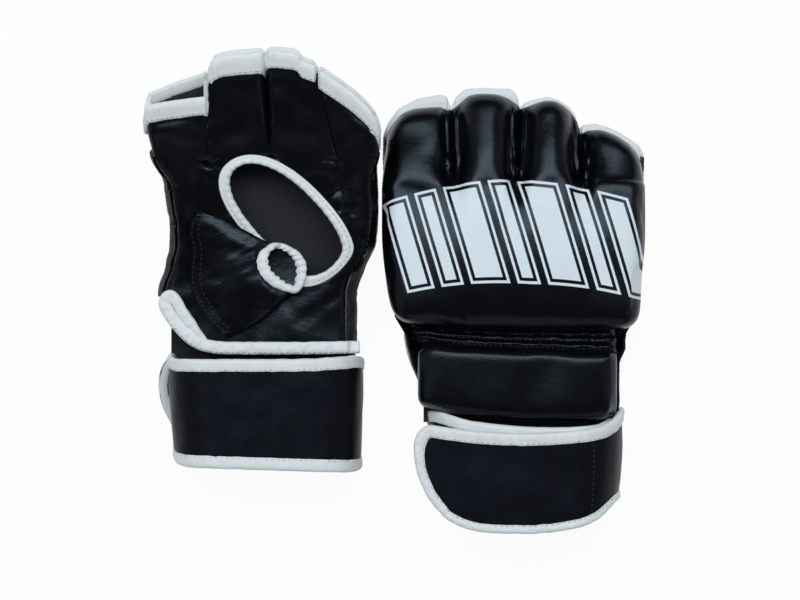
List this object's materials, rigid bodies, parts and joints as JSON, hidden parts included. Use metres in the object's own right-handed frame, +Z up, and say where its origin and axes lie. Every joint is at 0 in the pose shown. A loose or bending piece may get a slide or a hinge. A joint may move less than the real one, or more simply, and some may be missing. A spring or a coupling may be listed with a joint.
{
  "type": "pair of grappling gloves",
  "caption": "Pair of padded open-finger gloves with folded thumb sleeves, palm holes and wrap-around wrist straps, one palm down and one palm up.",
  "frame": {"origin": "centre of the pair's footprint, on the surface it lies on", "axes": "+Y from the wrists to the fingertips, +Z up, +X from the left glove to the right glove"},
  "size_m": [0.2735, 0.2657, 0.0752],
  "materials": {
    "leather": "smooth semi-gloss synthetic leather",
    "strap_leather": "smooth semi-gloss synthetic leather",
    "binding": "white vinyl binding, sewn",
    "foam": "closed-cell foam",
    "lining": "ribbed knit",
    "elastic": "woven elastic",
    "loop_tape": "loop pile",
    "hook_tape": "hook pile"
  },
  "bodies": {
    "right_hand": {"right_knuckle_pad": "leather", "right_wrist_pad": "leather", "right_pad_foam": "foam", "right_back_lining": "lining", "right_palm_panel": "leather", "right_palm_hole_binding": "binding", "right_side_gussets": "leather", "right_flex_seam": "leather", "right_wrist_cuff": "elastic", "right_cuff_binding": "binding", "right_strap_band": "strap_leather", "right_strap_band_binding": "binding", "right_loop_patch": "loop_tape"},
    "right_index_finger": {"right_index_finger_pad": "leather", "right_index_finger_loop": "leather", "right_index_finger_rim": "binding"},
    "right_middle_finger": {"right_middle_finger_pad": "leather", "right_middle_finger_loop": "leather", "right_middle_finger_rim": "binding"},
    "right_ring_finger": {"right_ring_finger_pad": "leather", "right_ring_finger_loop": "leather", "right_ring_finger_rim": "binding"},
    "right_little_finger": {"right_little_finger_pad": "leather", "right_little_finger_loop": "leather", "right_little_finger_rim": "binding"},
    "right_thumb": {"right_thumb_sleeve": "leather", "right_thumb_binding": "binding"},
    "right_flap": {"right_strap_flap": "strap_leather", "right_strap_flap_binding": "binding", "right_hook_patch": "hook_tape"},
    "left_hand": {"left_knuckle_pad": "leather", "left_wrist_pad": "leather", "left_pad_foam": "foam", "left_back_lining": "lining", "left_palm_panel": "leather", "left_palm_hole_binding": "binding", "left_side_gussets": "leather", "left_flex_seam": "leather", "left_wrist_cuff": "elastic", "left_cuff_binding": "binding", "left_strap_band": "strap_leather", "left_strap_band_binding": "binding", "left_loop_patch": "loop_tape"},
    "left_index_finger": {"left_index_finger_pad": "leather", "left_index_finger_loop": "leather", "left_index_finger_rim": "binding"},
    "left_middle_finger": {"left_middle_finger_pad": "leather", "left_middle_finger_loop": "leather", "left_middle_finger_rim": "binding"},
    "left_ring_finger": {"left_ring_finger_pad": "leather", "left_ring_finger_loop": "leather", "left_ring_finger_rim": "binding"},
    "left_little_finger": {"left_little_finger_pad": "leather", "left_little_finger_loop": "leather", "left_little_finger_rim": "binding"},
    "left_thumb": {"left_thumb_sleeve": "leather", "left_thumb_binding": "binding"},
    "left_flap": {"left_strap_flap": "strap_leather", "left_strap_flap_binding": "binding", "left_hook_patch": "hook_tape"}
  },
  "joints": [
    {"name": "left_glove_lift", "type": "slide", "parent": "right_hand", "child": "left_hand", "axis": [0, 0, 1], "range_m": [0, 0.15]},
    {"name": "right_index_flex", "type": "hinge", "parent": "right_hand", "child": "right_index_finger", "pos_m": [0.01225, 0.05643, 0.00401], "axis": [-1, 0, 0], "range_deg": [0, 50], "stiffness_Nm_per_rad": 0.08},
    {"name": "right_middle_flex", "type": "hinge", "parent": "right_hand", "child": "right_middle_finger", "pos_m": [0.04925, 0.05665, 0.00662], "axis": [-1, 0, 0], "range_deg": [0, 50], "stiffness_Nm_per_rad": 0.08},
    {"name": "right_ring_flex", "type": "hinge", "parent": "right_hand", "child": "right_ring_finger", "pos_m": [0.08475, 0.05662, 0.0062], "axis": [-1, 0, 0], "range_deg": [0, 50], "stiffness_Nm_per_rad": 0.08},
    {"name": "right_little_flex", "type": "hinge", "parent": "right_hand", "child": "right_little_finger", "pos_m": [0.11975, 0.05637, 0.00332], "axis": [-1, 0, 0], "range_deg": [0, 50], "stiffness_Nm_per_rad": 0.08},
    {"name": "right_thumb_unfold", "type": "hinge", "parent": "right_hand", "child": "right_thumb", "pos_m": [0.032, -0.02199, 0.00974], "axis": [-0.1939, 0.9808, -0.0212], "range_deg": [0, 110]},
    {"name": "right_strap_open", "type": "hinge", "parent": "right_hand", "child": "right_flap", "pos_m": [0.1239, -0.1033, 0.02475], "axis": [0, 1, 0], "range_deg": [0, 120]},
    {"name": "left_index_flex", "type": "hinge", "parent": "left_hand", "child": "left_index_finger", "pos_m": [-0.12438, 0.0734, 0.06392], "axis": [1, 0, 0], "range_deg": [0, 50], "stiffness_Nm_per_rad": 0.08},
    {"name": "left_middle_flex", "type": "hinge", "parent": "left_hand", "child": "left_middle_finger", "pos_m": [-0.08988, 0.07594, 0.05694], "axis": [1, 0, 0], "range_deg": [0, 50], "stiffness_Nm_per_rad": 0.08},
    {"name": "left_ring_flex", "type": "hinge", "parent": "left_hand", "child": "left_ring_finger", "pos_m": [-0.05438, 0.07561, 0.05784], "axis": [1, 0, 0], "range_deg": [0, 50], "stiffness_Nm_per_rad": 0.08},
    {"name": "left_little_flex", "type": "hinge", "parent": "left_hand", "child": "left_little_finger", "pos_m": [-0.02488, 0.07379, 0.06284], "axis": [1, 0, 0], "range_deg": [0, 50], "stiffness_Nm_per_rad": 0.08},
    {"name": "left_thumb_unfold", "type": "hinge", "parent": "left_hand", "child": "left_thumb", "pos_m": [-0.10493, 0.00886, 0.04667], "axis": [0.0909, -0.9927, -0.0797], "range_deg": [0, 110]},
    {"name": "left_strap_open", "type": "hinge", "parent": "left_hand", "child": "left_flap", "pos_m": [-0.0171, -0.0703, 0.02985], "axis": [0, -1, 0], "range_deg": [0, 60]}
  ]
}
